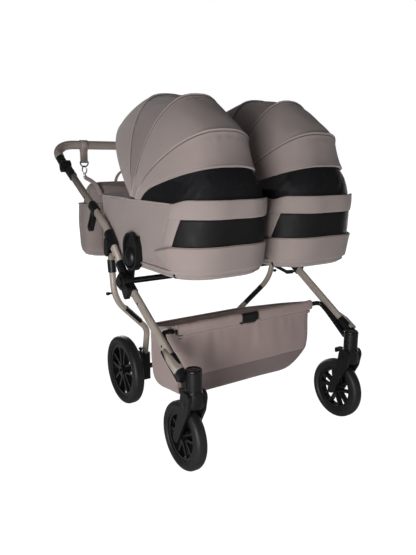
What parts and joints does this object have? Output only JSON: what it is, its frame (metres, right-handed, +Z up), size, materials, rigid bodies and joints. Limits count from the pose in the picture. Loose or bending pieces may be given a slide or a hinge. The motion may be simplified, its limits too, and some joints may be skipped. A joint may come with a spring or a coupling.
{
  "type": "twin pram",
  "caption": "Side-by-side twin pram: folding frame with swivel front casters, lift-off carrycots with folding hoods, tilting push handle, shopping basket and hanging bag.",
  "frame": {"origin": "bottom centre of the bounding box, on the floor", "axes": "+Z up, -Y towards the front casters (direction of travel), +X to the left as pushed"},
  "size_m": [0.768, 1.0731, 1.1241],
  "materials": {
    "tube": "satin champagne anodised",
    "plastic": "moulded black",
    "cloth": "matte woven taupe",
    "grip": "stitched leatherette",
    "tyre": "matte rubber",
    "steel": "polished",
    "liner": "quilted",
    "net": "mesh"
  },
  "bodies": {
    "upper_frame": {"push_tube_left": "tube", "push_tube_right": "tube", "hub_plates": "plastic", "pivot_pins": "plastic", "handle_joint_bases": "plastic", "leg_brackets": "plastic", "cross_bar": "plastic", "centre_support": "plastic", "cot_sockets": "plastic"},
    "fold_lever_left": {"fold_lever_left": "plastic"},
    "fold_lever_right": {"fold_lever_right": "plastic"},
    "handle": {"handle_tube": "tube", "handle_grip": "grip", "handle_joint_arms": "plastic"},
    "handle_button_left": {"handle_button_left": "plastic"},
    "handle_button_right": {"handle_button_right": "plastic"},
    "bag": {"bag_body": "cloth", "bag_straps": "grip", "bag_rings": "steel"},
    "front_frame": {"front_leg_left": "tube", "front_leg_right": "tube", "hub_covers": "plastic", "caster_heads": "plastic", "basket_rods": "plastic"},
    "links": {"fold_links": "plastic"},
    "caster_left": {"caster_fork_left": "plastic"},
    "caster_right": {"caster_fork_right": "plastic"},
    "lock_left": {"swivel_lock_left": "plastic"},
    "lock_right": {"swivel_lock_right": "plastic"},
    "front_wheel_left": {"front_tyre_left": "tyre", "front_rim_left": "plastic"},
    "front_wheel_right": {"front_tyre_right": "tyre", "front_rim_right": "plastic"},
    "rear_frame": {"rear_leg_left": "tube", "rear_leg_right": "tube", "leg_sleeves": "plastic", "rear_axle": "plastic", "rear_struts": "plastic", "basket": "cloth"},
    "brake": {"brake_pedal": "plastic"},
    "release_left": {"wheel_release_left": "plastic"},
    "release_right": {"wheel_release_right": "plastic"},
    "rear_wheel_left": {"rear_tyre_left": "tyre", "rear_rim_left": "plastic"},
    "rear_wheel_right": {"rear_tyre_right": "tyre", "rear_rim_right": "plastic"},
    "cot_left": {"cot_tub_left": "cloth", "cot_cover_left": "cloth", "cot_mattress_left": "liner", "cot_adapters_left": "plastic", "hood_head_left": "cloth"},
    "hood_mid_left": {"hood_mid_left": "cloth"},
    "hood_brim_left": {"hood_brim_left": "cloth"},
    "cot_right": {"cot_tub_right": "cloth", "cot_cover_right": "cloth", "cot_mattress_right": "liner", "cot_adapters_right": "plastic", "hood_head_right": "cloth"},
    "hood_mid_right": {"hood_mid_right": "cloth"},
    "hood_brim_right": {"hood_brim_right": "cloth"}
  },
  "joints": [
    {"name": "frame_fold", "type": "hinge", "parent": "upper_frame", "child": "front_frame", "pos_m": [0, -0.13168, 0.524], "axis": [1, 0, 0], "range_deg": [0, 90]},
    {"name": "rear_leg_fold", "type": "hinge", "parent": "upper_frame", "child": "rear_frame", "pos_m": [0, -0.01968, 0.606], "axis": [1, 0, 0], "range_deg": [0, 38.25]},
    {"name": "link_swing", "type": "hinge", "parent": "front_frame", "child": "links", "pos_m": [0, -0.15968, 0.484], "axis": [1, 0, 0], "range_deg": [-83.7, 0]},
    {"name": "handle_adjust", "type": "hinge", "parent": "upper_frame", "child": "handle", "pos_m": [0, 0.36832, 0.886], "axis": [1, 0, 0], "range_deg": [-35, 20]},
    {"name": "bag_swing", "type": "hinge", "parent": "handle", "child": "bag", "pos_m": [0, 0.49268, 0.96988], "axis": [1, 0, 0], "range_deg": [-20, 35]},
    {"name": "brake_press", "type": "hinge", "parent": "rear_frame", "child": "brake", "pos_m": [0, 0.08032, 0.129], "axis": [1, 0, 0], "range_deg": [-18, 0]},
    {"name": "fold_lever_left_pull", "type": "slide", "parent": "upper_frame", "child": "fold_lever_left", "axis": [0, 0.877, 0.4804], "range_m": [0, 0.015], "stiffness_N_per_m": 400},
    {"name": "handle_button_left_press", "type": "slide", "parent": "handle", "child": "handle_button_left", "axis": [1, 0, 0], "range_m": [0, 0.003], "stiffness_N_per_m": 900},
    {"name": "caster_swivel_left", "type": "hinge", "parent": "front_frame", "child": "caster_left", "pos_m": [-0.322, -0.48468, 0.29], "axis": [0, 0, 1], "continuous": true},
    {"name": "swivel_lock_left_lift", "type": "hinge", "parent": "caster_left", "child": "lock_left", "pos_m": [-0.322, -0.45228, 0.253], "axis": [1, 0, 0], "range_deg": [0, 18]},
    {"name": "front_wheel_left_spin", "type": "hinge", "parent": "caster_left", "child": "front_wheel_left", "pos_m": [-0.322, -0.43168, 0.105], "axis": [1, 0, 0], "continuous": true},
    {"name": "rear_wheel_left_spin", "type": "hinge", "parent": "rear_frame", "child": "rear_wheel_left", "pos_m": [-0.265, 0.09632, 0.129], "axis": [1, 0, 0], "continuous": true},
    {"name": "wheel_release_left_press", "type": "slide", "parent": "rear_frame", "child": "release_left", "axis": [0, 0, -1], "range_m": [0, 0.004], "stiffness_N_per_m": 900},
    {"name": "cot_left_lift", "type": "slide", "parent": "upper_frame", "child": "cot_left", "axis": [0, 0, 1], "range_m": [0, 0.3]},
    {"name": "hood_left_fold", "type": "hinge", "parent": "cot_left", "child": "hood_brim_left", "pos_m": [-0.1805, -0.15568, 0.799], "axis": [1, 0, 0], "range_deg": [0, 62]},
    {"name": "hood_left_mid_fold", "type": "hinge", "parent": "cot_left", "child": "hood_mid_left", "pos_m": [-0.1805, -0.15568, 0.799], "axis": [1, 0, 0], "range_deg": [0, 31]},
    {"name": "fold_lever_right_pull", "type": "slide", "parent": "upper_frame", "child": "fold_lever_right", "axis": [0, 0.877, 0.4804], "range_m": [0, 0.015], "stiffness_N_per_m": 400},
    {"name": "handle_button_right_press", "type": "slide", "parent": "handle", "child": "handle_button_right", "axis": [-1, 0, 0], "range_m": [0, 0.003], "stiffness_N_per_m": 900},
    {"name": "caster_swivel_right", "type": "hinge", "parent": "front_frame", "child": "caster_right", "pos_m": [0.322, -0.48468, 0.29], "axis": [0, 0, 1], "continuous": true},
    {"name": "swivel_lock_right_lift", "type": "hinge", "parent": "caster_right", "child": "lock_right", "pos_m": [0.322, -0.45228, 0.253], "axis": [1, 0, 0], "range_deg": [0, 18]},
    {"name": "front_wheel_right_spin", "type": "hinge", "parent": "caster_right", "child": "front_wheel_right", "pos_m": [0.322, -0.43168, 0.105], "axis": [1, 0, 0], "continuous": true},
    {"name": "rear_wheel_right_spin", "type": "hinge", "parent": "rear_frame", "child": "rear_wheel_right", "pos_m": [0.265, 0.09632, 0.129], "axis": [1, 0, 0], "continuous": true},
    {"name": "wheel_release_right_press", "type": "slide", "parent": "rear_frame", "child": "release_right", "axis": [0, 0, -1], "range_m": [0, 0.004], "stiffness_N_per_m": 900},
    {"name": "cot_right_lift", "type": "slide", "parent": "upper_frame", "child": "cot_right", "axis": [0, 0, 1], "range_m": [0, 0.3]},
    {"name": "hood_right_fold", "type": "hinge", "parent": "cot_right", "child": "hood_brim_right", "pos_m": [0.1805, -0.15568, 0.799], "axis": [1, 0, 0], "range_deg": [0, 62]},
    {"name": "hood_right_mid_fold", "type": "hinge", "parent": "cot_right", "child": "hood_mid_right", "pos_m": [0.1805, -0.15568, 0.799], "axis": [1, 0, 0], "range_deg": [0, 31]}
  ],
  "couplings": [
    {"joint": "rear_leg_fold", "follows": "frame_fold", "ratio": 0.425},
    {"joint": "link_swing", "follows": "frame_fold", "ratio": -0.93},
    {"joint": "bag_swing", "follows": "handle_adjust", "ratio": -1},
    {"joint": "hood_left_mid_fold", "follows": "hood_left_fold", "ratio": 0.5},
    {"joint": "hood_right_mid_fold", "follows": "hood_right_fold", "ratio": 0.5}
  ]
}
